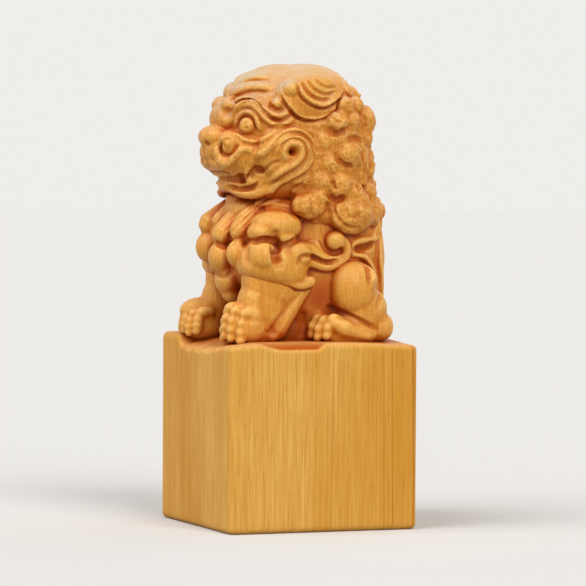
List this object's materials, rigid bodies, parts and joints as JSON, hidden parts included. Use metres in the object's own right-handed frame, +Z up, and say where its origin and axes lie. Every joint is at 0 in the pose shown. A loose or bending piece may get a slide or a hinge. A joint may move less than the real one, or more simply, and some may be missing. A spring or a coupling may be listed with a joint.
{
  "type": "wooden name seal",
  "caption": "Square wooden name seal with a bare flat seal face underneath and a seated guardian lion carved on top as its knob.",
  "frame": {"origin": "middle of the bare seal face under the block", "axes": "+Z up from the seal face to the lion's crown, -Y the way the lion looks, +X the lion's left side"},
  "size_m": [0.04, 0.04, 0.0932],
  "materials": {
    "block_wood": "planed and waxed pale boxwood, straight upright grain, satin",
    "carved_wood": "knife-carved boxwood, waxed satin, red-brown in the cuts"
  },
  "bodies": {
    "root": {"seal_block": "block_wood", "head": "carved_wood", "lower_jaw": "carved_wood", "nose": "carved_wood", "mane_back": "carved_wood", "torso": "carved_wood", "bib": "carved_wood", "tail": "carved_wood", "left_eye": "carved_wood", "right_eye": "carved_wood", "left_brow": "carved_wood", "right_brow": "carved_wood", "left_cheek_spiral": "carved_wood", "right_cheek_spiral": "carved_wood", "left_ear": "carved_wood", "right_ear": "carved_wood", "left_mane": "carved_wood", "right_mane": "carved_wood", "left_haunch": "carved_wood", "right_haunch": "carved_wood", "left_hind_paw": "carved_wood", "right_hind_paw": "carved_wood", "left_foreleg": "carved_wood", "right_foreleg": "carved_wood", "left_forepaw": "carved_wood", "right_forepaw": "carved_wood", "left_shoulder_curl": "carved_wood", "right_shoulder_curl": "carved_wood", "left_flank_flame": "carved_wood", "right_flank_flame": "carved_wood"}
  },
  "joints": []
}
